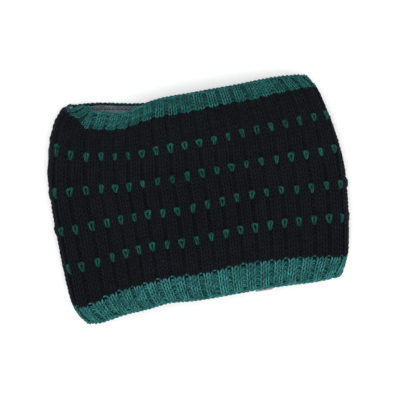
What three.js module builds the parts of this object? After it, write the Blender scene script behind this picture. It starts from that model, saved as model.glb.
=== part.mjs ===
// A knitted neck gaiter with a fleece lining, lying flat as it is laid on a table.
// X runs across the two side folds, Y along the neck tube from bottom hem to top hem, Z is up.
// The origin is on the table, under the middle of the part.
import * as THREE from 'three';

// Overall size, in millimetres
const flatWidth = 281;
const tubeLength = 193;
const sideFoldRadius = 16;
const crownRise = 10;

// Knitted rib: every repeat is two raised wales and one sunk wale around the tube
const ribRepeats = 42;
const walesPerRepeat = 3;
const firstSunkWale = 0.93;

// Knitted bands, measured along the tube from the bottom hem
const knitWall = 4.5;
const bottomCuffHeight = 25;
const topCuffHeight = 19;
const accentRowCount = 4;
const accentStitchHeight = 7;
const accentFloat = 1.2;

// Fleece lining and the threads that hold it
const fleeceThickness = 3;
const liningFromBottomHem = 20;
const liningFromTopHem = 4.5;
const seamThreadWidth = 2;
const backSeamWidth = 2.5;
const backSeamHeight = 0.8;

// Care label, sewn by one end on the lower layer
const labelWidth = 16;
const labelLength = 21.5;
const labelThickness = 0.6;
const labelOffCentre = 46;
const labelStitchHeight = 0.5;
const labelStitchInset = 2.2;

// Running gaps between neighbouring pieces
const clearance = 0.3;
const liningClearance = 0.5;

// How the laid fabric departs from a plain rectangle: the sides draw in at both hems,
// the bottom left corner hangs low, and the front of the top hem sags near the left.
const leftTopDraw = 20;
const leftBottomDraw = 10;
const leftLowerDraw = 4;
const rightTopDraw = 21;
const rightBottomDraw = 19;
const centreShift = -1;
const cornerDroop = { depth: 6.5, at: -118, spread: 24 };
const hemLift = { depth: 2, at: -44, spread: 16 };
const rimSag = { depth: 8, at: -58, spread: 22 };
const backRimRise = { depth: 9.5, at: -108, spread: 42 };
const backHemRetreat = 1.5;

const knitHalfLength = tubeLength / 2;
const topCuffStart = tubeLength - topCuffHeight;
const accentRows = spreadRows();
const depths = layerDepths();

// The accent rows share the black knit evenly between the two cuffs.
function spreadRows() {
  const spacing = (topCuffStart - bottomCuffHeight) / (accentRowCount + 1);
  return Array.from({ length: accentRowCount }, (_, n) => bottomCuffHeight + (n + 1) * spacing);
}

function layerDepths() {
  const floatOuter = knitWall + clearance;
  const fleeceOuter = floatOuter + accentFloat + liningClearance;
  return { floatOuter, fleeceOuter, fleeceInner: fleeceOuter + fleeceThickness };
}

function bump(x, shape) {
  const q = (x - shape.at) / shape.spread;
  return shape.depth * Math.exp(-q * q);
}

// Left and right outermost X at a fraction t of the way from bottom hem to top hem.
function sideLimits(t) {
  const half = flatWidth / 2;
  const below = 1 - t;
  const leftDraw = leftTopDraw * t ** 6 + leftBottomDraw * below ** 20 + leftLowerDraw * below ** 2;
  const rightDraw = rightTopDraw * t ** 5 + rightBottomDraw * below ** 5;
  return { left: centreShift - half + leftDraw, right: centreShift + half - rightDraw };
}

// Y of the fabric at a place x across it; front is 1 on the upper layer and 0 on the lower one.
function alongTube(x, front, t) {
  const low = -knitHalfLength - bump(x, cornerDroop);
  const bottomFront = low + bump(x, hemLift);
  const bottomBack = low + backHemRetreat;
  const topBack = knitHalfLength - backHemRetreat + bump(x, backRimRise);
  const frontY = bottomFront + (knitHalfLength - bottomFront) * t - bump(x, rimSag) * t ** 6;
  const backY = bottomBack + (topBack - bottomBack) * t;
  return backY + (frontY - backY) * front;
}

// The tube's cross-section: a point and its inward direction at a fraction of the way round,
// starting at the left fold and going over the upper layer first.
function sectionPoint(fraction, t) {
  const { left, right } = sideLimits(t);
  const r = sideFoldRadius;
  const span = right - left - 2 * r;
  const quarter = Math.PI * r / 2;
  const perimeter = 2 * span + 4 * quarter;
  const d = (fraction - Math.floor(fraction)) * perimeter;
  const onArc = (centreX, angle) => ({
    x: centreX + r * Math.cos(angle),
    z: r + r * Math.sin(angle),
    inX: -Math.cos(angle),
    inZ: -Math.sin(angle),
  });
  if (d < quarter) {
    return onArc(left + r, Math.PI - d / r);
  }
  if (d < quarter + span) {
    const q = 2 * (d - quarter) / span - 1;
    const rise = crownRise * (1 - q * q) ** 2;
    const slope = -8 * crownRise * q * (1 - q * q) / span;
    const steep = Math.hypot(1, slope);
    return { x: left + r + (d - quarter), z: 2 * r + rise, inX: slope / steep, inZ: -1 / steep };
  }
  if (d < 3 * quarter + span) {
    return onArc(right - r, Math.PI / 2 - (d - quarter - span) / r);
  }
  if (d < 3 * quarter + 2 * span) {
    return { x: right - r - (d - 3 * quarter - span), z: 0, inX: 0, inZ: 1 };
  }
  return onArc(left + r, -Math.PI / 2 - (d - 3 * quarter - 2 * span) / r);
}

// A point of the gaiter: fraction round the tube, height along it, depth in from the outside.
function place(fraction, height, depth) {
  const t = height / tubeLength;
  const p = sectionPoint(fraction, t);
  const f = Math.min(1, p.z / (2 * sideFoldRadius));
  const front = f * f * (3 - 2 * f);
  return [p.x + depth * p.inX, alongTube(p.x, front, t), p.z + depth * p.inZ];
}

// Both edges of every sunk wale, as fractions round the tube, with an inset on each edge.
function waleLines(inset) {
  const halfWale = 0.5 / walesPerRepeat - inset * ribRepeats / roundTube();
  const lines = [];
  for (let k = 0; k < ribRepeats; k += 1) {
    lines.push((k + firstSunkWale - halfWale) / ribRepeats);
    lines.push((k + firstSunkWale + halfWale) / ribRepeats);
  }
  return lines;
}

function roundTube() {
  const { left, right } = sideLimits(0.5);
  return 2 * (right - left - 2 * sideFoldRadius) + 2 * Math.PI * sideFoldRadius;
}

// Lining and seams need only one line a repeat where the fabric lies flat, and both at the folds.
function sparseLines() {
  const foldShare = (Math.PI / 2 + 0.5) * sideFoldRadius / roundTube();
  return waleLines(0).filter((fraction, i) => {
    const fromFold = Math.min(fraction, 1 - fraction, Math.abs(fraction - 0.5));
    return i % 2 === 0 || fromFold < foldShare;
  });
}

// A closed ring of fabric between two depths. cells(i, j) says what its outer skin does in one cell:
// 'open' cuts a window through the ring, 'raised' lifts a peg to raisedDepth, anything else is plain.
function ring(lines, heights, outer, inner, cells = () => 'plain', raisedDepth = outer) {
  const positions = [];
  const index = [];
  const known = new Map();
  const count = lines.length;
  const vertex = (i, j, depth) => {
    const key = `${i % count},${j},${depth}`;
    if (!known.has(key)) {
      known.set(key, positions.length / 3);
      positions.push(...place(lines[i % count], heights[j], depth));
    }
    return known.get(key);
  };
  const quad = (a, b, c, d) => index.push(a, b, c, a, c, d);
  const tunnel = (i, j, from, to) => {
    quad(vertex(i, j, from), vertex(i + 1, j, from), vertex(i + 1, j, to), vertex(i, j, to));
    quad(vertex(i + 1, j, from), vertex(i + 1, j + 1, from), vertex(i + 1, j + 1, to), vertex(i + 1, j, to));
    quad(vertex(i + 1, j + 1, from), vertex(i, j + 1, from), vertex(i, j + 1, to), vertex(i + 1, j + 1, to));
    quad(vertex(i, j + 1, from), vertex(i, j, from), vertex(i, j, to), vertex(i, j + 1, to));
  };
  const skin = (i, j, depth, outward) => {
    const corners = [vertex(i, j, depth), vertex(i + 1, j, depth), vertex(i + 1, j + 1, depth),
      vertex(i, j + 1, depth)];
    quad(...(outward ? corners : corners.reverse()));
  };
  const last = heights.length - 1;
  for (let i = 0; i < count; i += 1) {
    for (let j = 0; j < last; j += 1) {
      const kind = cells(i, j);
      if (kind === 'open') {
        tunnel(i, j, outer, inner);
      } else {
        skin(i, j, kind === 'raised' ? raisedDepth : outer, true);
        skin(i, j, inner, false);
        if (kind === 'raised') {
          tunnel(i, j, outer, raisedDepth);
        }
      }
    }
    quad(vertex(i, 0, inner), vertex(i + 1, 0, inner), vertex(i + 1, 0, outer), vertex(i, 0, outer));
    quad(vertex(i, last, outer), vertex(i + 1, last, outer), vertex(i + 1, last, inner), vertex(i, last, inner));
  }
  const geometry = new THREE.BufferGeometry();
  geometry.setAttribute('position', new THREE.Float32BufferAttribute(positions, 3));
  geometry.setIndex(index);
  geometry.computeVertexNormals();
  return geometry;
}

const blackYarn = new THREE.MeshStandardMaterial({ color: 0x15161a, roughness: 0.95, metalness: 0 });
const tealYarn = new THREE.MeshStandardMaterial({ color: 0x1d6a66, roughness: 0.92, metalness: 0 });
const accentYarn = new THREE.MeshStandardMaterial({ color: 0x197a66, roughness: 0.92, metalness: 0 });
const fleece = new THREE.MeshStandardMaterial({ color: 0x66707a, roughness: 1, metalness: 0 });
const seamThread = new THREE.MeshStandardMaterial({ color: 0x2b3036, roughness: 0.8, metalness: 0 });
const wovenTape = new THREE.MeshStandardMaterial({ color: 0xa6a4a6, roughness: 0.6, metalness: 0 });

const gaiter = new THREE.Group();

function add(name, geometry, material) {
  const mesh = new THREE.Mesh(geometry, material);
  mesh.name = name;
  gaiter.add(mesh);
  return mesh;
}

// Both edges of each accent row, drawn in by an inset on each edge.
function rowEdges(row, inset) {
  const half = accentStitchHeight / 2 - inset;
  return [row - half, row + half];
}

const isSunkWale = (i) => i % 2 === 0;

// The main knitted tube, with a window for every accent stitch in its sunk wales.
function addKnitBody() {
  const rows = accentRows.flatMap((row) => rowEdges(row, 0));
  const heights = [bottomCuffHeight, ...rows, topCuffStart];
  const cells = (i, j) => (isSunkWale(i) && j % 2 === 1 ? 'open' : 'plain');
  add('knit_body', ring(waleLines(0), heights, 0, knitWall, cells), blackYarn);
}

// The cuffs carry the lining's binding threads, so each has a line where its thread lies.
function addCuffs() {
  const bottomThread = liningFromBottomHem - seamThreadWidth;
  const topThread = tubeLength - liningFromTopHem + seamThreadWidth;
  const bottomHeights = [0, bottomThread / 2, bottomThread, bottomCuffHeight - clearance];
  const topHeights = [topCuffStart + clearance, topThread, tubeLength];
  add('bottom_cuff', ring(waleLines(0), bottomHeights, 0, knitWall), tealYarn);
  add('top_cuff', ring(waleLines(0), topHeights, 0, knitWall), tealYarn);
}

// Each accent yarn floats round the inside of the knit and shows as a stitch in every window.
function addAccentYarns() {
  const stitches = (i) => (isSunkWale(i) ? 'raised' : 'plain');
  accentRows.forEach((row, n) => {
    const heights = rowEdges(row, clearance);
    const floatInner = depths.floatOuter + accentFloat;
    const geometry = ring(waleLines(clearance), heights, depths.floatOuter, floatInner, stitches, clearance);
    add(`accent_yarn_${n + 1}`, geometry, accentYarn);
  });
}

// The fleece tube, and the threads that bind its two cut edges to the knit.
function addLining() {
  const top = tubeLength - liningFromTopHem;
  const nearTop = (accentRows.at(-1) + top) / 2;
  const heights = [liningFromBottomHem, ...accentRows, nearTop, top];
  const lines = sparseLines();
  add('fleece_lining', ring(lines, heights, depths.fleeceOuter, depths.fleeceInner), fleece);
  const bindings = {
    lining_bottom_seam: liningFromBottomHem - clearance - seamThreadWidth,
    lining_top_seam: top + clearance,
  };
  for (const [name, from] of Object.entries(bindings)) {
    add(name, ring(lines, [from, from + seamThreadWidth], knitWall + clearance, depths.fleeceInner), seamThread);
  }
}

// A plain bar on the lower layer: its middle across, its two ends along the tube, its lowest Z.
function addBar(name, x, ends, bottom, size, material) {
  const ys = ends.map((height) => alongTube(x, 0, height / tubeLength));
  const bar = add(name, new THREE.BoxGeometry(size.width, ys[1] - ys[0], size.thickness), material);
  bar.position.set(x, (ys[0] + ys[1]) / 2, bottom + size.thickness / 2);
}

// The lining is closed by one seam along its inside, and the label hangs in line with it.
function addBackSeamAndLabel() {
  const seamEnds = [liningFromBottomHem + seamThreadWidth, tubeLength - liningFromTopHem - seamThreadWidth];
  addBar('lining_back_seam', labelOffCentre, seamEnds, depths.fleeceInner + clearance,
    { width: backSeamWidth, thickness: backSeamHeight }, seamThread);
  const labelRoot = liningFromBottomHem - 2 * clearance - seamThreadWidth;
  const labelBottom = knitWall + clearance;
  addBar('care_label', labelOffCentre, [labelRoot - labelLength, labelRoot], labelBottom,
    { width: labelWidth, thickness: labelThickness }, wovenTape);
  const stitchAt = labelRoot - labelStitchInset;
  addBar('care_label_stitch', labelOffCentre, [stitchAt - labelStitchHeight, stitchAt + labelStitchHeight],
    labelBottom + labelThickness + clearance,
    { width: labelWidth - labelStitchInset, thickness: labelStitchHeight }, seamThread);
}

addKnitBody();
addCuffs();
addAccentYarns();
addLining();
addBackSeamAndLabel();

// Stand the origin under the middle of the part.
const extent = new THREE.Box3().setFromObject(gaiter);
const middle = extent.getCenter(new THREE.Vector3());
gaiter.position.set(-middle.x, -middle.y, -extent.min.z);
gaiter.updateMatrixWorld(true);

export default gaiter;
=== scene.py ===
import math
import bpy
import numpy as np
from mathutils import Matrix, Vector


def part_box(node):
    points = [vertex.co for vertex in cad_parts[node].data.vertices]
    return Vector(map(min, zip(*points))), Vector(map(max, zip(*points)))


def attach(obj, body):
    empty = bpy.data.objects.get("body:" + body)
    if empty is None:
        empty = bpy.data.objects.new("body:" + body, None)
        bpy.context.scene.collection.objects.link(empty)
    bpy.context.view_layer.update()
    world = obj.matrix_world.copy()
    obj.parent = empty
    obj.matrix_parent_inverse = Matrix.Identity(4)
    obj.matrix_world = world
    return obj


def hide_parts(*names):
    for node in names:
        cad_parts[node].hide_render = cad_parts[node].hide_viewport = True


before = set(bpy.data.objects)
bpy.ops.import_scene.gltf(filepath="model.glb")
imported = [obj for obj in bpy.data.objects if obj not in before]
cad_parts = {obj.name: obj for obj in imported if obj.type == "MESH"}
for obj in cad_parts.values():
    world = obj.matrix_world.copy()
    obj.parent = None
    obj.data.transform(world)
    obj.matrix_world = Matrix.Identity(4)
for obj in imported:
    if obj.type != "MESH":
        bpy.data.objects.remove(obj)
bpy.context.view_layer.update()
mm = 0.001
rng = np.random.default_rng(7)
print("frame loaded")

# The tube as it lies. A place on it is a fraction of the way round, starting at the left fold
# and going over the upper layer first, and a distance along it from the bottom hem.
lie = {
    "flatWidth": 281 * mm,
    "tubeLength": 193 * mm,
    "foldRadius": 16 * mm,
    "crownRise": 10 * mm,
    "leftTopDraw": 20 * mm,
    "leftBottomDraw": 12.5 * mm,
    "leftLowerDraw": 5.4 * mm,
    "rightTopDraw": 21 * mm,
    "rightBottomDraw": 19 * mm,
    "centreShift": -1 * mm,
    "backHemRetreat": 1.5 * mm,
    "cornerDroop": (6.5 * mm, -118 * mm, 24 * mm),  # how much, where across, spread
    "hemLift": (2 * mm, -44 * mm, 16 * mm),
    "rimSag": (8 * mm, -58 * mm, 22 * mm),
    "backRimRise": (9.5 * mm, -108 * mm, 42 * mm),
    "backRimSwell": (2.2 * mm, -72 * mm, 26 * mm),
    "frontRimLift": (1.2 * mm, 88 * mm, 24 * mm),
    "hemFall": 0.5 * mm,
    "rightSwell": (1.7 * mm, 0.52, 0.16),  # how much, at what share of the length, spread
    "rightHollow": (0.85 * mm, 0.8, 0.09),
    "waveHeight": 0.7 * mm,
    "waveLengths": (17 * mm, 23 * mm, 60 * mm, 9 * mm, 31 * mm),
    "topTurn": 3.8 * mm,  # how far the tube is turned towards its top hem
    "turnBand": (0.58, 0.745),  # the shares of the length between which it turns
    "loop": 598 * mm,  # the way once round the body
}

# How far the upper layer's courses wander along the tube, in millimetres: one row for each
# level from the bottom hem to the top hem, one column for each place across.
drift = {
    "gridAlong": (-10, 204),
    "gridAcross": (-150, 151),
    "levels": [0, 25, 54.8, 84.6, 114.4, 144.2, 174, 193],
    "across": [-134, -118, -104, -90, -77, -64, -50, -36, -22, -8,
               5, 18, 33, 47, 61, 75, 89, 103, 118, 131],
    "rows": [
        [0, 0, -0.3, -0.6, -0.7, -0.5, 0.3, 0.7, 0.9, 1, 1, 1.2, 1.3, 1.3, 1, 0.5, 0, -0.5, -0.3, 0],
        [-11, -8, -4.5, -3.2, -2, -1, -0.8, -0.5, 0, 0, 0.8, 2, 2.9, 2, 0.8, 0, -1, -3.2, -6.5, -9],
        [-5, -2, -2, -2, -1, 0, 0, 0, -0.7, 0, 2, 2, 3.8, 3, 3, 3, 2, 1, 1, -2],
        [1, 2, 2, 0, 1, 1, 0.8, -0.8, 0, 0, 2, 1.2, 4, 4.8, 4.2, 4.8, 2, 1, 2, 0],
        [7, 7, 5, 3, 1, -0.5, 0.5, 0, 0, 1, 2, 2, 3, 3, 4, 3, 3, 3, 3, 5],
        [13, 8.5, 5.5, 4.3, 2, 0.3, -0.8, -1, -1, -0.6, -0.3, 0, 0.2, 2, 3, 4, 4.5, 5, 7, 8],
        [4, 4, 4, 1, -1, 0, 1.6, 2, 1.6, 1.2, 1, 2.8, 3.3, 3.3, 3.3, 4.2, 5.3, 6.5, 8, 9],
        [0, 0, -1, 0, 0, 0, 0, 0, 0, 0, 0, 0.2, 0.4, 0.5, 1, 1.4, 1.7, 1.8, 1.5, 1],
    ],
    "blur": 5,
}

# Where the corners sink towards the table, and the crease beside the top left one.
corners = {
    "creaseAtRim": -86.5 * mm,
    "creaseLean": 0.7,  # how far it goes left for each step down the tube
    "creaseWidth": 4 * mm,
    "creaseGrowth": 12 * mm,  # how far down the tube it is twice as wide
    "creaseOverlap": (2.5 * mm, 2.5 * mm, 3 * mm),  # how much, how far right of the crease, spread
    "overlapReach": 20 * mm,
    "topLeftDrop": 20 * mm,
    "topLeftReach": 27 * mm,
    # the fabric there slides up and in: at each share of the length, how far just left of the
    # crease, how much further at the fold, and how far inwards at the fold
    "slideLevels": [0.70, 0.746, 0.798, 0.85, 0.9, 0.95, 1.0],
    "slideUp": [0, 1 * mm, 4 * mm, 7.5 * mm, 10 * mm, 9.5 * mm, 7.5 * mm],
    "slideUpMore": [0, 3.5 * mm, 9 * mm, 12 * mm, 11 * mm, 3 * mm, -5.5 * mm],
    "slideIn": [0, 2.4 * mm, 4.4 * mm, 9 * mm, 15 * mm, 17 * mm, 17 * mm],
    "slideInFrom": 90 * mm,  # this and the bands are distances from the middle towards their side
    "slideInSpan": 41 * mm,
    "slideMoreBand": (97 * mm, 133 * mm),
    "foldBand": (104 * mm, 134 * mm),
    "topRightDrop": 13 * mm,
    "topRightReach": 29 * mm,
    "topRightBand": (66 * mm, 124 * mm),
    "bottomLeftDrop": 10 * mm,
    "bottomLeftBand": (88 * mm, 134 * mm),
    "bottomRightDrop": 12 * mm,
    "bottomRightBand": (84 * mm, 126 * mm),
    "bottomReach": 27 * mm,
    "dropSpare": 4 * mm,  # added to the tube's height when a drop is taken as a share of it
}


def bump(x, shape):
    height, at, spread = shape
    return height * np.exp(-(((x - at) / spread) ** 2))


def smoothstep(x, low, high):
    s = np.clip((x - low) / (high - low), 0, 1)
    return s * s * (3 - 2 * s)


def blurred(table, axis, sigma):
    reach = np.arange(-3 * sigma, 3 * sigma + 1)
    weights = np.exp(-((reach / sigma) ** 2) / 2)
    weights /= weights.sum()
    pad = [(0, 0), (0, 0)]
    pad[axis] = (len(reach) // 2, len(reach) // 2)
    padded = np.pad(table, pad, mode="edge")
    return np.apply_along_axis(np.convolve, axis, padded, weights, "valid")


def smoothDrift():
    # the drift rows on an even grid of 1 mm across and 1 mm along, with their corners rounded off
    across = np.arange(*drift["gridAcross"])
    along = np.arange(*drift["gridAlong"])
    fine = np.array([np.interp(across, drift["across"], row) for row in drift["rows"]])
    table = np.stack([np.interp(along, drift["levels"], fine[:, k]) for k in range(len(across))], 1)
    return blurred(blurred(table, 0, drift["blur"]), 1, drift["blur"])


driftTable = smoothDrift()


def sampled(table, u, v):
    # reads a table between its points
    u = np.clip(u, 0, table.shape[0] - 1.001)
    v = np.clip(v, 0, table.shape[1] - 1.001)
    i, j = u.astype(int), v.astype(int)
    a, b = u - i, v - j
    low = table[i, j] * (1 - b) + table[i, j + 1] * b
    high = table[i + 1, j] * (1 - b) + table[i + 1, j + 1] * b
    return low * (1 - a) + high * a


def sideLimits(t):
    half = lie["flatWidth"] / 2
    below = 1 - t
    leftDraw = lie["leftTopDraw"] * t**6 + lie["leftBottomDraw"] * below**14
    leftDraw = leftDraw + lie["leftLowerDraw"] * below**2
    rightDraw = lie["rightTopDraw"] * t**5 + lie["rightBottomDraw"] * below**5
    rightDraw = rightDraw - bump(t, lie["rightSwell"]) + bump(t, lie["rightHollow"])
    return lie["centreShift"] - half + leftDraw, lie["centreShift"] + half - rightDraw


def alongTube(x, front, t):
    halfLength = lie["tubeLength"] / 2
    low = -halfLength - bump(x, lie["cornerDroop"])
    bottomFront = low + bump(x, lie["hemLift"]) - lie["hemFall"]
    bottomBack = low + lie["backHemRetreat"]
    topBack = halfLength - lie["backHemRetreat"]
    topBack = topBack + bump(x, lie["backRimRise"]) + bump(x, lie["backRimSwell"])
    frontY = bottomFront + (halfLength - bottomFront) * t - bump(x, lie["rimSag"]) * t**6
    frontY = frontY + bump(x, lie["frontRimLift"]) * t**6
    backY = bottomBack + (topBack - bottomBack) * t
    return backY + (frontY - backY) * front


def section(fraction, t):
    # x and z of the tube's outer face, before the corners sink
    left, right = sideLimits(t)
    r = lie["foldRadius"]
    span = right - left - 2 * r
    quarter = math.pi * r / 2
    d = (fraction % 1.0) * (2 * span + 4 * quarter)
    q = np.clip(2 * (d - quarter) / span - 1, -1, 1)
    leftTurn = np.where(d < quarter, math.pi - d / r, -math.pi / 2 - (d - 3 * quarter - 2 * span) / r)
    rightTurn = math.pi / 2 - (d - quarter - span) / r
    where = [d < quarter, d < quarter + span, d < 3 * quarter + span, d < 3 * quarter + 2 * span]
    onLeft = (left + r + r * np.cos(leftTurn), r + r * np.sin(leftTurn))
    onTop = (left + r + d - quarter, 2 * r + lie["crownRise"] * (1 - q * q) ** 2)
    onRight = (right - r + r * np.cos(rightTurn), r + r * np.sin(rightTurn))
    under = (right - r - (d - 3 * quarter - span), 0 * d)
    return [np.select(where, parts, parts[0]) for parts in zip(onLeft, onTop, onRight, under)]


def cornerDrop(x, along):
    # how far the upper layer has sunk, how far a place is in the top left corner's fold, and how
    # far the cloth beside the crease laps over it
    length = lie["tubeLength"]
    toRim = length - along
    crease = corners["creaseAtRim"] - corners["creaseLean"] * toRim
    width = corners["creaseWidth"] * (1 + np.clip(toRim, 0, None) / corners["creaseGrowth"])
    inCorner = smoothstep(crease - x, -width / 2, width / 2)
    near = np.clip(1 - toRim / corners["topLeftReach"], 0, 1.2) ** 1.5
    drop = corners["topLeftDrop"] * near * inCorner
    right = np.clip(1 - toRim / corners["topRightReach"], 0, 1.2) ** 1.4
    drop = drop + corners["topRightDrop"] * right * smoothstep(x, *corners["topRightBand"])
    low = np.clip(1 - along / corners["bottomReach"], 0, 1.2) ** 1.4
    drop = drop + corners["bottomLeftDrop"] * low * smoothstep(-x, *corners["bottomLeftBand"])
    drop = drop + corners["bottomRightDrop"] * low * smoothstep(x, *corners["bottomRightBand"])
    overlap = bump(x - crease, corners["creaseOverlap"]) * np.clip(1 - toRim / corners["overlapReach"], 0, 1)
    return drop, inCorner, overlap


def keptHeight(drop):
    # the share of its height that the tube keeps where it has sunk
    return 1 - drop / (2 * lie["foldRadius"] + corners["dropSpare"])


def surfaceWave(x, y):
    # the low, uneven swell of the knit
    a, b, c, d, e = lie["waveLengths"]
    return np.sin(x / a + 1.3) * np.sin(y / b + x / c) + 0.7 * np.sin(x / d - y / e)


labelSeat = {"across": 46 * mm, "root": 17.4 * mm, "length": 21.5 * mm, "width": 16 * mm}


def frameShift():
    # from the tube's own middle to the frame's, by where the label is sewn in
    low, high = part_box("care_label")
    root = alongTube(labelSeat["across"], 0, labelSeat["root"] / lie["tubeLength"])
    return np.array([(low[0] + high[0]) / 2 - labelSeat["across"], high[1] - root, 0])


shift = frameShift()


def facePoint(fraction, along):
    # a place on the outer face of the tube
    fraction, along = np.broadcast_arrays(np.asarray(fraction, float), np.asarray(along, float))
    t = along / lie["tubeLength"]
    x, z = section(fraction, t)
    front = smoothstep(z, 0, 2 * lie["foldRadius"])
    y = alongTube(x, front, t)
    gridPlace = along / mm - drift["gridAlong"][0], x / mm - drift["gridAcross"][0]
    y = y + front * mm * sampled(driftTable, *gridPlace)
    drop, inCorner, overlap = cornerDrop(x, along)
    up, upMore, inwards = (np.interp(t, corners["slideLevels"], corners[key])
                           for key in ("slideUp", "slideUpMore", "slideIn"))
    outer = smoothstep(-x, *corners["slideMoreBand"])
    onTop = smoothstep(z, 0, 0.7 * lie["foldRadius"])
    held = 1 - (1 - onTop) * (1 - 0.7 * smoothstep(-x, *corners["foldBand"]))  # the lower layer moves less
    y = y + held * (up * inCorner + upMore * outer)
    slid = np.clip((-corners["slideInFrom"] - x) / corners["slideInSpan"], 0, 1.3) ** 1.5
    x = x + inwards * slid - overlap * front
    z = z * keptHeight(drop) + front * lie["waveHeight"] * surfaceWave(x, y)
    return np.stack([x, y, z], -1) + shift


def inwardWay(fraction, along):
    # the direction from the outer face into the tube
    step = 0.5 * mm
    turn = step / (600 * mm)  # about the same step, as a fraction of the way round
    roundWay = facePoint(fraction + turn, along) - facePoint(fraction - turn, along)
    upWay = facePoint(fraction, along + step) - facePoint(fraction, along - step)
    way = np.cross(upWay, roundWay)
    way /= np.maximum(np.linalg.norm(way, axis=-1, keepdims=True), 1e-12)
    # where the corner's cloth bunches up, the plain section's direction takes over
    t = np.asarray(along, float) / lie["tubeLength"]
    (x0, z0), (x1, z1) = section(fraction - turn, t), section(fraction + turn, t)
    plain = np.stack([z1 - z0, 0 * z0, x0 - x1], -1)
    plain /= np.linalg.norm(plain, axis=-1, keepdims=True)
    share = smoothstep(-(way * plain).sum(-1, keepdims=True), -0.6, -0.2)
    way = way * (1 - share) + plain * share
    return way / np.linalg.norm(way, axis=-1, keepdims=True)


def tubePoint(fraction, along, depth):
    depth = np.asarray(depth, float)
    return facePoint(fraction, along) + depth[..., None] * inwardWay(fraction, along)


# The table that spaces the wales: its levels along the tube, in millimetres, and its places round it.
evenGrid = {"levels": (-4, 199, 2), "places": 1600}


def evenTable():
    # for every level, the fractions at which the wales stand when they are spaced evenly over the face
    levels = np.arange(*evenGrid["levels"]) * mm
    quarter = evenGrid["places"] // 4
    fine = np.linspace(0, 1, 4 * quarter + 1)
    even = np.linspace(0, 1, 2 * quarter + 1)
    lines = facePoint(fine[None, :], levels[:, None])
    lengths = np.linalg.norm(np.diff(lines, axis=1), axis=2)
    table = np.empty((len(levels), len(fine)))
    for n, steps in enumerate(lengths):
        run = np.concatenate([[0], np.cumsum(steps)])
        ahead = np.interp(0.25, fine, run)
        astern = np.interp(0.75, fine, run)
        # each half, from the middle of one layer round a fold to the other's, has half the wales
        right = np.interp(ahead + (astern - ahead) * even, run, fine)
        runOn = np.concatenate([run, run[-1] + run[1:]])
        fineOn = np.concatenate([fine, 1 + fine[1:]])
        loop = run[-1] - astern + ahead
        left = np.interp(astern + loop * even, runOn, fineOn)
        table[n, quarter:3 * quarter + 1] = right
        table[n, 3 * quarter:] = left[:quarter + 1]
        table[n, :quarter + 1] = left[quarter:] - 1
    return table


evenRound = evenTable()


def evenFraction(share, along):
    # the fraction round the tube at which a share of all the wales has been passed
    share, along = np.broadcast_arrays(np.asarray(share, float), np.asarray(along, float))
    turned = smoothstep(along / lie["tubeLength"], *lie["turnBand"])
    share = share + lie["topTurn"] * turned / lie["loop"]
    whole = np.floor(share)
    first, _, step = evenGrid["levels"]
    return whole + sampled(evenRound, (along / mm - first) / step, (share - whole) * evenGrid["places"])


print("tube laid out")


def makeMesh(name, points, faces, material, smooth=True, maps=None):
    mesh = bpy.data.meshes.new(name)
    sides = faces.shape[1]
    mesh.vertices.add(len(points))
    mesh.vertices.foreach_set("co", np.ascontiguousarray(points, np.float32).ravel())
    mesh.loops.add(faces.size)
    mesh.loops.foreach_set("vertex_index", np.ascontiguousarray(faces, np.int32).ravel())
    mesh.polygons.add(len(faces))
    mesh.polygons.foreach_set("loop_start", np.arange(0, faces.size, sides, dtype=np.int32))
    mesh.update(calc_edges=True)
    mesh.polygons.foreach_set("use_smooth", np.full(len(faces), smooth))
    for key, places in (maps or {}).items():
        layer = mesh.uv_layers.new(name=key)
        layer.uv.foreach_set("vector", np.ascontiguousarray(places, np.float32).ravel())
    mesh.materials.append(material)
    mesh.validate()
    piece = bpy.data.objects.new(name, mesh)
    bpy.context.scene.collection.objects.link(piece)
    return piece


def fit(piece, node, body="gaiter"):
    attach(piece, body)
    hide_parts(node)
    return piece


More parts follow.
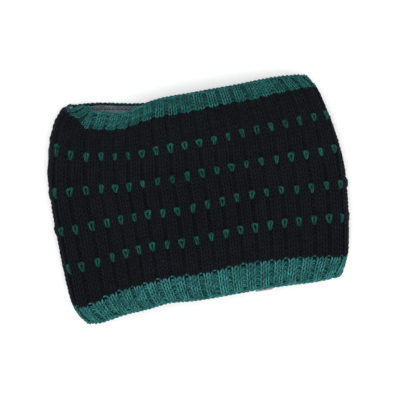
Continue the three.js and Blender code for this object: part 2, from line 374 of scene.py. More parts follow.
def strandMesh(name, centres, inward, radius, material, sides=6, folds=4):
    # closed yarns: centres is (yarns, steps, 3), inward the fabric's depth direction there
    yarns, steps, _ = centres.shape
    run = np.roll(centres, -1, 1) - np.roll(centres, 1, 1)
    run /= np.linalg.norm(run, axis=2, keepdims=True)
    side = np.cross(run, inward)
    side /= np.linalg.norm(side, axis=2, keepdims=True)
    rise = np.cross(side, run)
    turn = np.arange(sides) * 2 * math.pi / sides
    radius = np.broadcast_to(radius, (yarns, steps))[..., None, None]
    ringWay = side[:, :, None] * np.cos(turn)[:, None] + rise[:, :, None] * np.sin(turn)[:, None]
    points = (centres[:, :, None] + radius * ringWay).reshape(-1, 3)
    points[:, 2] = np.maximum(points[:, 2], 0)  # pressed flat where it rests on the table
    index = np.arange(yarns * steps * sides).reshape(yarns, steps, sides)
    ahead = np.roll(index, -1, 1)
    faces = np.stack([index, np.roll(index, -1, 2), np.roll(ahead, -1, 2), ahead], -1).reshape(-1, 4)
    # one map follows the strand for its twist, the other lays every strand out flat
    length = np.linalg.norm(np.roll(centres, -1, 1) - centres, axis=2)
    start = np.cumsum(length, 1) - length
    i, j = np.meshgrid(np.arange(steps), np.arange(sides), indexing="ij")
    along0 = np.broadcast_to(start[:, :, None], index.shape)
    along1 = along0 + length[:, :, None]
    round0 = np.broadcast_to(j / sides, index.shape)
    round1 = round0 + 1 / sides
    strand = np.stack([along0, round0, along0, round1, along1, round1, along1, round0], -1)
    perFold = steps / folds
    fold = np.floor(i / perFold)
    across0 = np.broadcast_to((i - fold * perFold) / perFold, index.shape)
    across1 = across0 + 1 / perFold
    row = (np.arange(yarns)[:, None, None] * folds + fold) / (yarns * folds)
    gap = 0.04
    row0 = row + (gap + (1 - 2 * gap) * j / sides) / (yarns * folds)
    row1 = row + (gap + (1 - 2 * gap) * (j + 1) / sides) / (yarns * folds)
    flat = np.stack([across0, row0, across0, row1, across1, row1, across1, row0], -1)
    maps = {"strand": strand.reshape(-1, 2), "OFBake": flat.reshape(-1, 2)}
    return makeMesh(name, points, faces, material, maps=maps)


def shellMesh(name, f, a, outer, inner, material):
    # a closed ring of cloth on a grid of places; outer and inner are the depths of its two faces
    face, way = facePoint(f, a), inwardWay(f, a)
    depths = [np.broadcast_to(depth, f.shape)[..., None] for depth in (outer, inner)]
    points = np.stack([face + depth * way for depth in depths], 2)
    points[..., 2] = np.maximum(points[..., 2], 0.1 * mm)  # just clear of the table
    index = np.arange(f.size * 2).reshape(*f.shape, 2)
    ahead = np.roll(index, -1, 0)
    quads = [
        np.stack([index[:, :-1, 0], ahead[:, :-1, 0], ahead[:, 1:, 0], index[:, 1:, 0]], -1),
        np.stack([index[:, :-1, 1], index[:, 1:, 1], ahead[:, 1:, 1], ahead[:, :-1, 1]], -1),
        np.stack([index[:, 0, 1], ahead[:, 0, 1], ahead[:, 0, 0], index[:, 0, 0]], -1),
        np.stack([index[:, -1, 0], ahead[:, -1, 0], ahead[:, -1, 1], index[:, -1, 1]], -1),
    ]
    faces = np.concatenate([quad.reshape(-1, 4) for quad in quads])
    return makeMesh(name, points.reshape(-1, 3), faces, material)


class Wire:
    # a node's output, so that sums on it can be written as plain expressions

    def __init__(self, recipe, socket):
        self.recipe = recipe
        self.socket = socket

    def math(self, operation, *values):
        return self.recipe.node("ShaderNodeMath", {"operation": operation}, dict(enumerate(values)))

    def __add__(self, other):
        return self.math("ADD", self, other)

    def __radd__(self, other):
        return self.math("ADD", other, self)

    def __sub__(self, other):
        return self.math("SUBTRACT", self, other)

    def __rsub__(self, other):
        return self.math("SUBTRACT", other, self)

    def __mul__(self, other):
        return self.math("MULTIPLY", self, other)

    def __rmul__(self, other):
        return self.math("MULTIPLY", other, self)

    def sine(self):
        return self.math("SINE", self)


class Recipe:
    # one material being made

    def __init__(self, name):
        self.material = bpy.data.materials.new(name)
        self.material.use_nodes = True
        self.tree = self.material.node_tree
        self.tree.nodes.clear()

    def node(self, kind, settings=None, values=None, output=0):
        made = self.tree.nodes.new(kind)
        for key, value in (settings or {}).items():
            if key == "stops":
                for n, (place, colour) in enumerate(value):
                    stop = made.color_ramp.elements[n] if n < 2 else made.color_ramp.elements.new(place)
                    stop.position, stop.color = place, colour
            else:
                setattr(made, key, value)
        for key, value in (values or {}).items():
            if isinstance(value, Wire):
                self.tree.links.new(value.socket, made.inputs[key])
            else:
                made.inputs[key].default_value = value
        return Wire(self, made.outputs[output]) if len(made.outputs) else None

    def noise(self, where, scale, detail=2.0, roughness=0.5):
        values = {"Vector": where, "Scale": scale, "Detail": detail, "Roughness": roughness}
        return self.node("ShaderNodeTexNoise", {}, values)

    def ramp(self, factor, *stops):
        return self.node("ShaderNodeValToRGB", {"stops": stops}, {0: factor})

    def bump(self, height):
        return self.node("ShaderNodeBump", {}, {"Strength": 1.0, "Distance": 1.0, "Height": height})

    def place(self):
        return self.node("ShaderNodeTexCoord", {}, {}, output="Object")

    def finish(self, values):
        shader = self.node("ShaderNodeBsdfPrincipled", {}, values)
        self.node("ShaderNodeOutputMaterial", {}, {"Surface": shader})
        return self.material


def rgba(r, g, b):
    return (r, g, b, 1.0)


yarnLook = {
    "plies": 3,
    "turnLength": 8 * mm,
    "plyShade": 0.3,
    "fibreShade": 0.2,
    "clumpShade": 0.5,
    "patchShade": 0.3,
    "paintedFlankShade": 0.16,  # painted shade: how much darker the flanks and the inner side are, where the yarn lies in its own shade
    "shadeShift": 0.19,
    "fibreScale": 1100.0,
    "clumpScale": 170.0,
    "patchScale": 30.0,
    "plyBump": 0.28 * mm,
    "fibreBump": 0.1 * mm,
}

yarnDyes = {
    "blackYarn": {
        "dark": rgba(0.0003, 0.0005, 0.0009),
        "mid": rgba(0.0012, 0.002, 0.0035),
        "light": rgba(0.0034, 0.0052, 0.0082),
        "sheen": 0.042,
        "sheenTint": rgba(0.42, 0.48, 0.6),
    },
    # painted light: the bottom cuff's teal, the lighter of two copies of one dye that differ only by where
    # more light falls
    "tealYarn": {
        "dark": rgba(0.0005, 0.009, 0.0095),
        "mid": rgba(0.0042, 0.057, 0.056),
        "light": rgba(0.038, 0.205, 0.197),
        "sheen": 0.15,
        "sheenTint": rgba(0.38, 0.74, 0.72),
    },
    "shadedTopTeal": {  # painted shade: the teal darkened for the top cuff, where less light falls than on the bottom one
        "dark": rgba(0.0004, 0.006, 0.0062),
        "mid": rgba(0.0026, 0.036, 0.0345),
        "light": rgba(0.022, 0.132, 0.124),
        "sheen": 0.1,
        "sheenTint": rgba(0.38, 0.74, 0.72),
    },
    "accentYarn": {
        "dark": rgba(0.0004, 0.0058, 0.0046),
        "mid": rgba(0.0014, 0.026, 0.02),
        "light": rgba(0.0065, 0.073, 0.057),
        "sheen": 0.065,
        "sheenTint": rgba(0.35, 0.75, 0.65),
    },
}


def yarnMaterial(name):
    dye = yarnDyes[name]
    recipe = Recipe(name)
    place = recipe.place()
    strand = recipe.node("ShaderNodeUVMap", {"uv_map": "strand"})
    run = recipe.node("ShaderNodeSeparateXYZ", {}, {0: strand})
    around = recipe.node("ShaderNodeSeparateXYZ", {}, {0: strand}, output=1)
    twist = run * (2 * math.pi / yarnLook["turnLength"]) + around * (2 * math.pi * yarnLook["plies"])
    ply = twist.sine() * 0.5 + 0.5
    fibres = recipe.noise(place, yarnLook["fibreScale"], 2.0, 0.6)
    clumps = recipe.noise(place, yarnLook["clumpScale"])
    patches = recipe.noise(place, yarnLook["patchScale"])
    paintedShadeSide = (around * (2 * math.pi)).sine() * -1  # painted shade: 1 on the side that faces out, -1 inside, where the yarn is painted darker
    shade = ply * yarnLook["plyShade"] + fibres * yarnLook["fibreShade"]
    shade = shade + clumps * yarnLook["clumpShade"] + patches * yarnLook["patchShade"]
    shade = shade + paintedShadeSide * yarnLook["paintedFlankShade"] - yarnLook["shadeShift"]
    colour = recipe.ramp(shade, (0.15, dye["dark"]), (0.85, dye["light"]), (0.5, dye["mid"]))
    relief = ply * yarnLook["plyBump"] + fibres * yarnLook["fibreBump"]
    return recipe.finish({"Base Color": colour, "Roughness": 0.95, "Normal": recipe.bump(relief),
                          "Sheen Weight": dye["sheen"], "Sheen Roughness": 0.45,
                          "Sheen Tint": dye["sheenTint"], "Specular IOR Level": 0.12})


# painted shade: the sheets behind the loops are coloured darker than the yarn to stand for the shade in the
# gaps between them
shadeSheetLook = {"scale": 1200.0, "relief": 0.3 * mm, "roughness": 1.0, "sheen": 0.0}
cloths = {
    "fleecePile": {
        "dark": rgba(0.055, 0.08, 0.096),
        "light": rgba(0.165, 0.225, 0.262),
        "scale": 800.0,
        "relief": 0.6 * mm,
        "roughness": 0.95,
        "sheen": 0.35,
    },
    "blackGapShade": {**shadeSheetLook, "dark": rgba(0.0006, 0.0006, 0.001), "light": rgba(0.002, 0.002, 0.003)},
    "tealGapShade": {**shadeSheetLook, "dark": rgba(0.001, 0.012, 0.012), "light": rgba(0.003, 0.03, 0.028)},
    "seamThread": {
        "dark": rgba(0.02, 0.02, 0.024),
        "light": rgba(0.09, 0.085, 0.095),
        "scale": 2500.0,
        "relief": 0.05 * mm,
        "roughness": 0.6,
        "sheen": 0.1,
    },
}


def clothMaterial(name):
    cloth = cloths[name]
    recipe = Recipe(name)
    place = recipe.place()
    pile = recipe.noise(place, cloth["scale"], 4.0, 0.65)
    wide = recipe.noise(place, cloth["scale"] * 0.12)
    colour = recipe.ramp(pile * 0.65 + wide * 0.35, (0.3, cloth["dark"]), (0.75, cloth["light"]))
    relief = recipe.bump(pile * cloth["relief"])
    return recipe.finish({"Base Color": colour, "Roughness": cloth["roughness"], "Normal": relief,
                          "Sheen Weight": cloth["sheen"], "Sheen Roughness": 0.5, "Specular IOR Level": 0.2})


blackYarn, tealYarn, shadedTopTeal, accentYarn = (yarnMaterial(name) for name in yarnDyes)
fleecePile, blackShadeSheet, tealShadeSheet, seamThread = (clothMaterial(name) for name in cloths)
print("materials made")

# The rib: every repeat is one sunk wale and two raised ones, and every course is one closed yarn.
knit = {
    "repeats": 42,
    "sunkCentre": 0.93,  # of a repeat, where the first sunk wale's middle is
    "sunkShare": 0.27,  # of a repeat, the sunk wale's width
    "yarnRadius": 1.12 * mm,
    "loopHalfDepth": 1.08 * mm,
    "loopSwell": 0.19,  # of a wale, how far a loop's head is wider than its base
    "sunkSwell": 0.27,
    "loopReach": 0.78,  # of a course, half the height of a loop
    "sunkDepth": 2.0 * mm,
    "stepsPerWale": 12,
    "bottomCuff": 25 * mm,
    "topCuff": 19 * mm,
    "edge": 2.6 * mm,
    "bodyCourses": 40,
    "bottomCourses": 6,
    "topCourses": 5,
    "leftWander": (3.3 * mm, 0.09, 0.047),  # how far round, at what share of the loop, spread
    "wallEdge": 0.5,  # of a wale, from a sunk wale's middle to where the face steps up
    "wallSoftness": 0.15,
    "footSpread": 0.12,
    "ropeInset": 1.9 * mm,
    "ropeSwing": 0.9 * mm,
    "ropeRadius": 1.15 * mm,
    "ropeSteps": 10,
    "shadeSheetInset": 1.5 * mm,
    "shadeSheetHalf": 0.15 * mm,
    "shadeSheetRow": 4 * mm,
}

# What differs between the bands; tuck is how far the first course is drawn up in the sunk wales.
bodyLook = {"yarnRadius": 1.12 * mm, "sunkDepth": 2.0 * mm, "unevenness": 0.17 * mm, "tuck": 0}
bottomLook = {"yarnRadius": 1.02 * mm, "sunkDepth": 2.3 * mm, "unevenness": 0.34 * mm, "tuck": 0}
topLook = {**bottomLook, "tuck": 2.6 * mm}


def wandered(share):
    # the wales by the left fold stand a little further round
    return share + bump(share % 1.0, knit["leftWander"]) / lie["loop"]


def waleFraction(wale, along):
    # fraction round the tube of a wale count: 0 to 1 is a sunk wale, 1 to 3 the two raised ones after it
    repeat = np.floor(wale / 3)
    inRepeat = wale - 3 * repeat
    sunk = knit["sunkShare"]
    part = np.where(inRepeat < 1, inRepeat * sunk, sunk + (inRepeat - 1) * (1 - sunk) / 2)
    share = (repeat + knit["sunkCentre"] - sunk / 2 + part) / knit["repeats"]
    return evenFraction(wandered(share), along)


def faceSign(wale, low=0.0):
    # 1 on a raised wale and -1 on a sunk one; low is 1 at a loop's foot, where the sunk face is wider
    inRepeat = wale % 3
    soft = knit["wallSoftness"]
    edge = knit["wallEdge"] + knit["footSpread"] * low
    fromSunk = np.minimum(np.abs(inRepeat - 0.5), np.abs(inRepeat - 3.5))
    return 2 * smoothstep(fromSunk, edge - soft, edge + soft) - 1


def courseYarns(heights, spacing, look):
    # centres, inward directions and radii of one closed yarn for each course
    wales = 3 * knit["repeats"]
    steps = knit["stepsPerWale"]
    wale = (np.arange(wales * steps) + 0.5) / steps
    turn = 2 * math.pi * (wale - np.floor(wale)) - math.pi
    stitch = np.floor(wale).astype(int)
    swell = np.where(stitch % 3 == 0, knit["sunkSwell"], knit["loopSwell"]) * np.sin(2 * turn)
    sign = faceSign(wale, (1 - np.cos(turn)) / 2)
    relief = look["sunkDepth"] * (1 - sign) / 2
    heights = np.asarray(heights)[:, None]
    loose = rng.normal(0, 1, (3, len(heights), wales))
    loose = (loose + np.roll(loose, 1, 2)) / 2
    nudge = loose[:, :, stitch] * look["unevenness"]
    along = heights + spacing * knit["loopReach"] * np.cos(turn) + nudge[0]
    along[0] += look["tuck"] * (1 - sign) / 2
    fraction = waleFraction(wale + swell + 0 * along, along)
    middle = knit["yarnRadius"] + knit["loopHalfDepth"]
    depth = middle + relief + sign * knit["loopHalfDepth"] * np.cos(2 * turn) + 0.6 * nudge[1]
    radius = look["yarnRadius"] + 0.25 * nudge[2]
    return tubePoint(fraction, along, depth), inwardWay(fraction, along), radius


def knitBand(name, heights, spacing, material, node, look):
    centres, inward, radius = courseYarns(heights, spacing, look)
    yarns.setdefault(node, []).append((centres, inward))
    return fit(strandMesh(name, centres, inward, radius, material), node)


def courseLevels(low, high, count):
    # the middle height of each course, and the distance from one to the next
    spacing = (high - low) / count
    return low + (np.arange(count) + 0.5) * spacing, spacing


yarns = {}  # where the yarns of each band run, for the loose fibres on them
bodyLow = knit["bottomCuff"]
bodyHigh = lie["tubeLength"] - knit["topCuff"]
bodyHeights, bodySpacing = courseLevels(bodyLow, bodyHigh, knit["bodyCourses"])
for n, part in enumerate(np.array_split(bodyHeights, 4)):
    knitBand(f"knit_body_courses_{n + 1}", part, bodySpacing, blackYarn, "knit_body",
                               bodyLook)
bottomHeights, bottomSpacing = courseLevels(knit["edge"], bodyLow, knit["bottomCourses"])
bottomPiece = knitBand("bottom_cuff_courses", bottomHeights, bottomSpacing, tealYarn, "bottom_cuff",
                       bottomLook)
topHeights, topSpacing = courseLevels(bodyHigh, lie["tubeLength"] - knit["edge"], knit["topCourses"])
topPiece = knitBand("top_cuff_courses", topHeights, topSpacing, shadedTopTeal, "top_cuff", topLook)
print("courses knitted")


def edgeRope(name, at, material, node):
    # the cast-on or cast-off edge: two yarns that turn about each other along the hem
    steps = knit["ropeSteps"]
    swing = knit["ropeSwing"]
    wale = np.arange(3 * knit["repeats"] * steps) / steps
    turn = math.pi * wale
    relief = knit["sunkDepth"] * (1 - faceSign(wale)) / 2
    middle = knit["yarnRadius"] + knit["loopHalfDepth"] + relief * 0.7
    phase = np.array([[0], [math.pi]])
    along = at + swing * np.cos(turn + phase)
    fraction = waleFraction(wale + 0 * along, along)
    centres = tubePoint(fraction, along, middle + swing * np.sin(turn + phase))
    inward = inwardWay(fraction, along)
    yarns[node].append((centres, inward))
    return fit(strandMesh(name, centres, inward, knit["ropeRadius"], material), node)


bottomEdge = edgeRope("bottom_cuff_edge", knit["ropeInset"], tealYarn, "bottom_cuff")
topEdge = edgeRope("top_cuff_edge", lie["tubeLength"] - knit["ropeInset"], shadedTopTeal, "top_cuff")


def flatSize(low, high):
    # a band's width round the tube and its length, as if cut open and laid flat
    loop = facePoint(np.linspace(0, 1, 800), (low + high) / 2)
    return float(np.linalg.norm(np.diff(loop, axis=0), axis=1).sum()), float(high - low)


def backing(name, low, high, material, node):
    # a dark sheet through the middle of the knit, which closes the gaps between its loops and fills them
    # with painted shade
    wales = np.arange(3 * knit["repeats"] * 3) / 3
    relief = knit["sunkDepth"] * (1 - faceSign(wales)) / 2
    middle = (knit["yarnRadius"] + knit["loopHalfDepth"] + relief)[:, None]
    rows = np.linspace(low, high, int((high - low) / knit["shadeSheetRow"]))
    fractions = waleFraction(wales, (low + high) / 2)
    f, a = np.meshgrid(fractions, rows, indexing="ij")
    piece = shellMesh(name, f, a, middle - knit["shadeSheetHalf"], middle + knit["shadeSheetHalf"], material)
    fit(piece, node)
    flatSize(low, high)


backing("knit_body_shade_sheet", bodyLow, bodyHigh, blackShadeSheet, "knit_body")
backing("bottom_cuff_shade_sheet", knit["shadeSheetInset"], bodyLow, tealShadeSheet, "bottom_cuff")
backing("top_cuff_shade_sheet", bodyHigh, lie["tubeLength"] - knit["shadeSheetInset"], tealShadeSheet, "top_cuff")
print("edges and backing made")

accent = {
    "rows": 4,
    "height": 8.5 * mm,
    "halfWidth": 1.75 * mm,
    "outline": ([0, 0.12, 0.27, 0.45, 0.7, 1], [0, 0.7, 1, 0.9, 0.5, 0.05]),  # wide head, narrow foot
    "widths": (0.55, 1.3),  # from the narrowest tuft to the widest, as shares of the half width
    "heights": (0.86, 1.1),
    "leans": (-0.16, 0.16),
    "depths": (-0.2, 1.5),  # in millimetres
    "skews": (-0.12, 0.12),
    "legSpread": 0.3 * mm,
    "yarnRadius": 1.5 * mm,
    "thinning": 0.2,  # of the radius, towards the foot
    "floatThickness": 0.72,
    "faceDepth": 0.6 * mm,
    "headDive": (0.8 * mm, 0, 0.5),
    "footDive": 0.76,  # of the way down, where the feet go back through the knit
    "floatDepth": 5.4 * mm,
    "floatBow": 0.8 * mm,
    "steps": 26,
    "floatSteps": 8,
}


def accentRow(n):
    # one yarn: in every sunk wale it comes forward, makes one long loop and goes back to float on
    rowHeight = bodyLow + (n + 1) * (bodyHigh - bodyLow) / (accent["rows"] + 1)
    each = (knit["repeats"], 1)
    width = accent["halfWidth"] * rng.uniform(*accent["widths"], each)
    tall = accent["height"] * rng.uniform(*accent["heights"], each)
    lean = rng.uniform(*accent["leans"], each)
    face = accent["faceDepth"] + rng.uniform(*accent["depths"], each) * mm
    skew = rng.uniform(*accent["skews"], each)

    # the loop that shows
    repeat = np.arange(knit["repeats"])[:, None]
    turn = np.linspace(-math.pi, math.pi, accent["steps"])[None, :]
    s = np.abs(turn) / math.pi
    spread = np.interp(s, *accent["outline"])
    up = tall / 2 * (1 - 2 * s**1.9) * (1 + skew * np.sign(turn) * spread)
    across = width * np.sign(turn) * spread + accent["legSpread"] * turn / math.pi + lean * up
    dive = smoothstep(s, accent["footDive"], 1)
    loopDepth = face + bump(turn, accent["headDive"]) + dive * (accent["floatDepth"] - face)
    loopShare = (repeat + knit["sunkCentre"]) / knit["repeats"] + across / lie["loop"]
    loopAlong = rowHeight + up
    loopThickness = 1 - accent["thinning"] + accent["thinning"] * np.cos(turn) + 0 * width

    # the float behind the knit to the next sunk wale
    s = np.linspace(0, 1, accent["floatSteps"] + 2)[None, 1:-1]
    nextShare = np.roll(loopShare[:, :1], -1, 0)
    nextShare[-1] += 1
    nextAlong = np.roll(loopAlong[:, :1], -1, 0)
    floatShare = loopShare[:, -1:] + (nextShare - loopShare[:, -1:]) * s
    floatAlong = loopAlong[:, -1:] + (nextAlong - loopAlong[:, -1:]) * s
    floatAlong = floatAlong + accent["floatBow"] * np.sin(math.pi * s)
    floatDepth = np.full_like(floatShare, accent["floatDepth"])
    floatThickness = np.full_like(floatShare, accent["floatThickness"])

    share = np.concatenate([loopShare, floatShare], 1).ravel()
    along = np.concatenate([loopAlong, floatAlong], 1).ravel()
    depth = np.concatenate([loopDepth, floatDepth], 1).ravel()
    thickness = np.concatenate([loopThickness, floatThickness], 1).ravel()
    fraction = evenFraction(wandered(share), along)
    centres = tubePoint(fraction, along, depth)[None]
    inward = inwardWay(fraction, along)[None]
    node = f"accent_yarn_{n + 1}"
    yarns[node] = [(centres, inward)]
    piece = strandMesh(f"accent_yarn_row_{n + 1}", centres, inward, accent["yarnRadius"] * thickness[None],
                       accentYarn, sides=8, folds=16)
    fit(piece, node)


for n in range(accent["rows"]):
    accentRow(n)
print("accent rows stitched")

# Short loose fibres that stand off the yarns.
fuzz = {
    "bodyCount": 9000,
    "cuffCount": 2600,
    "shortest": 1.0 * mm,
    "longest": 2.8 * mm,
    "rootRadius": 0.055 * mm,
    "tipRadius": 0.02 * mm,
    "rootLift": 0.3 * mm,
    "standing": (0.25, 1.0),  # how strongly a fibre points straight out
    "scatter": 0.55,
    "bend": 0.45,
    "black": rgba(0.007, 0.007, 0.009),
    "teal": rgba(0.03, 0.17, 0.16),
}


def fuzzMaterial(name, colour):
    return Recipe(name).finish({"Base Color": colour, "Roughness": 1.0, "Specular IOR Level": 0.1,
                                "Sheen Weight": 0.2})


def addFuzz(name, node, count, material):
    centres = np.concatenate([c.reshape(-1, 3) for c, _ in yarns[node]])
    outward = -np.concatenate([w.reshape(-1, 3) for _, w in yarns[node]])
    pick = rng.integers(0, len(centres), count)
    scatter = rng.normal(0, 1, (count, 3))
    way = outward[pick] * rng.uniform(*fuzz["standing"], (count, 1)) + fuzz["scatter"] * scatter
    way /= np.linalg.norm(way, axis=1, keepdims=True)
    bend = rng.normal(0, fuzz["bend"], (count, 3))
    length = rng.uniform(fuzz["shortest"], fuzz["longest"], (count, 1))
    root = centres[pick] + outward[pick] * fuzz["rootLift"]
    side = np.cross(way, rng.normal(0, 1, (count, 3)))
    side /= np.linalg.norm(side, axis=1, keepdims=True)
    other = np.cross(way, side)
    rings = []
    for s in (0.0, 0.5, 1.0):
        middle = root + length * (way * s + bend * s * s * 0.5)
        radius = fuzz["rootRadius"] + (fuzz["tipRadius"] - fuzz["rootRadius"]) * s
        for turn in (0, 2 * math.pi / 3, 4 * math.pi / 3):
            rings.append(middle + radius * (side * math.cos(turn) + other * math.sin(turn)))
    points = np.stack(rings, 1)
    points[..., 2] = np.maximum(points[..., 2], 0.02 * mm)
    cells = [(0, 2, 1), (6, 7, 8)]
    for ring in (0, 3):
        for k in range(3):
            m = (k + 1) % 3
            cells += [(ring + k, ring + m, ring + 3 + m), (ring + k, ring + 3 + m, ring + 3 + k)]
    faces = (np.arange(count)[:, None, None] * 9 + np.array(cells)[None]).reshape(-1, 3)
    fit(makeMesh(name, points.reshape(-1, 3), faces, material), node)


blackFuzz = fuzzMaterial("blackFuzz", fuzz["black"])
tealFuzz = fuzzMaterial("tealFuzz", fuzz["teal"])
addFuzz("knit_body_fuzz", "knit_body", fuzz["bodyCount"], blackFuzz)
addFuzz("bottom_cuff_fuzz", "bottom_cuff", fuzz["cuffCount"], tealFuzz)
addFuzz("top_cuff_fuzz", "top_cuff", fuzz["cuffCount"], tealFuzz)
print("fibres raised")

lining = {
    "fromBottom": 20 * mm,
    "fromTop": 3.3 * mm,
    "outer": 6.5 * mm,
    "inner": 9.5 * mm,
    "pile": 0.45 * mm,
    "knitBack": 4.2 * mm,  # no part of it lies nearer the face than this
    "thinnest": 4.5 * mm,
    "middleGap": 3 * mm,  # kept free between the two layers where they sink
    "cornerDip": 14 * mm,
    "cornerBand": (84 * mm, 104 * mm),
    "seamReach": 3.2 * mm,
    "threadRadius": 0.35 * mm,
    "threadLift": 0.25 * mm,
    "needleLift": 0.35 * mm,
    "overEdge": 1.6 * mm,  # how far the binding turns down over the cut edge
    "bindingStitches": 140,
    "backStitches": 64,
    "stitchSteps": 8,
}


def liningEdge(fraction, along):
    # the lining's top edge stays lower inside the top left corner
    t = along / lie["tubeLength"]
    corner = smoothstep(-section(fraction, t)[0], *lining["cornerBand"])
    return along - lining["cornerDip"] * corner * np.clip(t, 0, 1) ** 12


def liningDepth(fraction, along, depth):
    # thins the lining where the tube is pinched flat, so that its two layers don't meet
    t = np.asarray(along, float) / lie["tubeLength"]
    drop = cornerDrop(section(fraction, t)[0], along)[0]
    room = lie["foldRadius"] * keptHeight(drop) - lining["middleGap"]
    back = lining["knitBack"]
    share = (np.clip(room, lining["thinnest"], lining["inner"]) - back) / (lining["inner"] - back)
    return back + (np.asarray(depth) - back) * share


def addLining():
    low, high = lining["fromBottom"], lie["tubeLength"] - lining["fromTop"]
    fractions = np.arange(440) / 440
    alongs = np.linspace(low, high, 112)
    rough = rng.normal(0, 1, (len(fractions), len(alongs)))
    rough = (rough + np.roll(rough, 1, 0) + np.roll(rough, 1, 1)) / 3
    f, a = np.meshgrid(fractions, alongs, indexing="ij")
    a = liningEdge(f, a)
    inner = lining["inner"] + rough * lining["pile"]
    piece = shellMesh("fleece_lining_cloth", f, a, liningDepth(f, a, lining["outer"]),
                      liningDepth(f, a, inner), fleecePile)
    fit(piece, "fleece_lining")
    flatSize(low, high)


def zigzagWave(run, stitches):
    # from -1 to 1 and back in straight lines, once for each stitch
    return np.arcsin(np.sin(2 * math.pi * stitches * run)) * 2 / math.pi


def bindingSeam(name, edge, inwards, node):
    # zigzag binding over a cut edge of the fleece, with a straight needle thread inside it
    stitches, steps = lining["bindingStitches"], lining["stitchSteps"]
    run = np.arange(stitches * steps) / (stitches * steps)
    wave = zigzagWave(run, stitches)
    over = np.clip(-0.6 - wave, 0, None) / 0.4
    zigzag = edge + inwards * lining["seamReach"] * 0.5 * (wave + 0.6)
    straight = np.full_like(run, edge + inwards * lining["seamReach"] * 0.95)
    along = liningEdge(run, np.array([zigzag, straight]))
    bound = lining["inner"] + lining["threadLift"] - lining["overEdge"] * over
    needled = lining["inner"] + lining["needleLift"]
    needled = needled + lining["threadLift"] * np.sin(2 * math.pi * stitches * run)
    fraction = np.array([run, run])
    centres = tubePoint(fraction, along, liningDepth(fraction, along, np.array([bound, needled])))
    inward = inwardWay(fraction, along)
    fit(strandMesh(name, centres, inward, lining["threadRadius"], seamThread, sides=5), node)


addLining()
bindingSeam("lining_bottom_binding", lining["fromBottom"], 1, "lining_bottom_seam")
bindingSeam("lining_top_binding", lie["tubeLength"] - lining["fromTop"], -1, "lining_top_seam")


def addBackSeam():
    # the overlocked join of the lining: a zigzag up its length and a straight thread back
    low, high = (np.array(corner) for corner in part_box("lining_back_seam"))
    width, length, _ = high - low
    middle = (low[0] + high[0]) / 2
    top = low[2] + 0.45 * mm
    s = np.linspace(0, 1, lining["backStitches"] * lining["stitchSteps"])
    wave = zigzagWave(s, lining["backStitches"])
    up = np.stack([middle + wave * width / 2, low[1] + length * s, 0 * s + top], 1)
    back = np.stack([0 * s + middle, high[1] - length * s, 0 * s + top - 0.2 * mm], 1)
    path = np.concatenate([up, back])[None]
    inward = np.broadcast_to(np.array([0.0, 0.0, 1.0]), path.shape)
    fit(strandMesh("lining_back_overlock", path, inward, lining["threadRadius"], seamThread, sides=5),
        "lining_back_seam")


addBackSeam()
print("lining sewn in")

label = {
    "thickness": 0.45 * mm,
    "rise": 2.1 * mm,  # it lies on the backs of the sunk wales
    "curl": 1.3 * mm,
    "buckle": 0.35 * mm,
    "ribPitch": 0.55 * mm,
    "ribRelief": 0.03 * mm,
    "dark": rgba(0.26, 0.255, 0.255),
    "light": rgba(0.4, 0.395, 0.39),
    "steps": (44, 34),  # along it and across it
    "stitches": 8,
    "threadRadius": 0.22 * mm,
    "threadLift": 0.2 * mm,
    "overWave": 0.18 * mm,
    "underWave": 0.1 * mm,
    "shortBy": 0.9 * mm,  # the curl takes this much off its reach
    "rootGap": 1.2 * mm,  # its sewn end stops short of the line it turns about
}


def labelMaterial():
    recipe = Recipe("labelTape")
    place = recipe.place()
    across = recipe.node("ShaderNodeSeparateXYZ", {}, {0: place})
    along = recipe.node("ShaderNodeSeparateXYZ", {}, {0: place}, output=1)
    pitch = 2 * math.pi / label["ribPitch"]
    weave = (across * pitch).sine() * 0.5 + (along * (pitch * 0.8)).sine() * 0.5
    soil = recipe.noise(place, 300.0, 2.0)
    colour = recipe.ramp(weave * 0.12 + soil * 0.6 + 0.15, (0.2, label["dark"]), (0.8, label["light"]))
    relief = recipe.bump(weave * label["ribRelief"])
    return recipe.finish({"Base Color": colour, "Roughness": 0.5, "Normal": relief, "Sheen Weight": 0.2,
                          "Sheen Roughness": 0.4})


def labelHeight(s, q, low):
    # height of the tape's middle: s goes from its free end to its sewn end, q from -1 to 1 across it
    free = 1 - s
    curl = label["curl"] * free**2 + label["buckle"] * np.sin(5 * s + 1) * free
    return low[2] + label["rise"] + curl + label["buckle"] * (1 - q * q) * np.sin(3 * s)


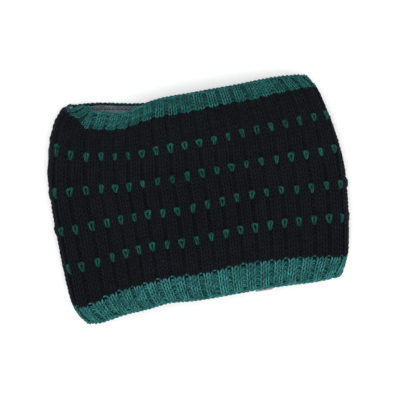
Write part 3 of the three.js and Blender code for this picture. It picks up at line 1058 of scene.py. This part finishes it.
def addLabel():
    low, high = (np.array(corner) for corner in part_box("care_label"))
    longSteps, wideSteps = label["steps"]
    s, q = np.meshgrid(np.linspace(0, 1, longSteps), np.linspace(-1, 1, wideSteps), indexing="ij")
    x = (low[0] + high[0]) / 2 + q * (high[0] - low[0]) / 2
    start = low[1] + label["shortBy"]
    y = start + s * (high[1] - label["rootGap"] - start)
    z = labelHeight(s, q, low)
    edge = np.clip(1 - (1 - np.abs(q)) / 0.1, 0, 1)  # the woven edges are a little thicker
    half = label["thickness"] * (0.5 + 0.2 * edge * (1 - edge) * 4)
    points = np.stack([np.stack([x, y, z + half], -1), np.stack([x, y, z - half], -1)], 2)
    index = np.arange(s.size * 2).reshape(longSteps, wideSteps, 2)
    quads = [
        np.stack([index[:-1, :-1, 0], index[:-1, 1:, 0], index[1:, 1:, 0], index[1:, :-1, 0]], -1),
        np.stack([index[:-1, :-1, 1], index[1:, :-1, 1], index[1:, 1:, 1], index[:-1, 1:, 1]], -1),
        np.stack([index[:-1, 0, 0], index[1:, 0, 0], index[1:, 0, 1], index[:-1, 0, 1]], -1),
        np.stack([index[:-1, -1, 0], index[:-1, -1, 1], index[1:, -1, 1], index[1:, -1, 0]], -1),
        np.stack([index[0, :-1, 0], index[0, :-1, 1], index[0, 1:, 1], index[0, 1:, 0]], -1),
        np.stack([index[-1, :-1, 0], index[-1, 1:, 0], index[-1, 1:, 1], index[-1, :-1, 1]], -1),
    ]
    faces = np.concatenate([quad.reshape(-1, 4) for quad in quads])
    tape = makeMesh("care_label_tape", points.reshape(-1, 3), faces, labelMaterial())
    fit(tape, "care_label", body="label")

    stitchLow, stitchHigh = (np.array(corner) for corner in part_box("care_label_stitch"))
    run = np.linspace(0, 1, label["stitches"] * 12)
    level = (stitchLow[1] + stitchHigh[1]) / 2
    seat = (level - start) / (high[1] - label["rootGap"] - start)
    across = stitchLow[0] + run * (stitchHigh[0] - stitchLow[0])
    q = (across - (low[0] + high[0]) / 2) / ((high[0] - low[0]) / 2)
    top = labelHeight(seat, q, low) + label["thickness"] / 2
    wave = np.cos(2 * math.pi * label["stitches"] * run)
    overHeight = top + label["threadLift"] + label["overWave"] * wave
    underHeight = top - label["thickness"] - label["threadLift"] + label["underWave"] * wave
    over = np.stack([across, level + 0 * run, overHeight], 1)
    under = np.stack([across, level + 0 * run, underHeight], 1)[::-1]
    path = np.concatenate([over, under])[None]
    inward = np.broadcast_to(np.array([0.0, 1.0, 0.0]), path.shape)
    thread = strandMesh("care_label_thread", path, inward, label["threadRadius"], seamThread)
    fit(thread, "care_label_stitch", body="label")


addLabel()
print("label sewn in")

stage = {
    "floorSide": 6.0,
    "floorDark": rgba(0.88, 0.88, 0.88),
    "floorLight": rgba(0.92, 0.92, 0.92),
    "cameraHeight": 2.0,
    "focusHeight": 36 * mm,
    "roll": 9.3,  # degrees, how far the camera is turned
    "aim": (0.8 * mm, -4.5 * mm),
    "viewWidth": 0.3732,
    "skyStrength": 1.25,
    # each lamp's place, its size and its power
    "lamps": {
        "overhead": ((-0.4, 0.2, 1.9), 1.6, 5),
        "front": ((0.1, -0.6, 1.5), 1.7, 11),
    },
}


def lookRotation(where, target):
    way = Vector(target) - Vector(where)
    return way.to_track_quat("-Z", "Y").to_euler()


def addStage():
    half = stage["floorSide"] / 2
    recipe = Recipe("paleFloor")
    speck = recipe.noise(recipe.place(), 3.0)
    tone = recipe.ramp(speck, (0.0, stage["floorDark"]), (1.0, stage["floorLight"]))
    material = recipe.finish({"Base Color": tone, "Roughness": 0.8})
    rim = np.array([[-half, -half, 0], [half, -half, 0], [half, half, 0], [-half, half, 0]])
    makeMesh("floor", rim, np.array([[0, 1, 2, 3]]), material, smooth=False)
    world = bpy.data.worlds.new("softRoom")
    bpy.context.scene.world = world
    world.use_nodes = True
    sky = world.node_tree.nodes["Background"]
    sky.inputs["Color"].default_value = (1, 1, 1, 1)
    sky.inputs["Strength"].default_value = stage["skyStrength"]
    for name, (where, size, power) in stage["lamps"].items():
        data = bpy.data.lights.new(name, "AREA")
        data.size = size
        data.energy = power
        lamp = bpy.data.objects.new(name, data)
        lamp.location = where
        lamp.rotation_euler = lookRotation(where, (0, 0, 0))
        bpy.context.scene.collection.objects.link(lamp)
    bpy.context.scene.view_settings.view_transform = "Standard"


def addCamera():
    data = bpy.data.cameras.new("camera")
    camera = bpy.data.objects.new("camera", data)
    reach = stage["cameraHeight"] - stage["focusHeight"]
    data.lens = data.sensor_width * reach / stage["viewWidth"]
    camera.location = (*stage["aim"], stage["cameraHeight"])
    camera.rotation_euler = (0, 0, -math.radians(stage["roll"]))
    bpy.context.scene.collection.objects.link(camera)
    bpy.context.scene.camera = camera


addStage()
addCamera()
print("stage set")
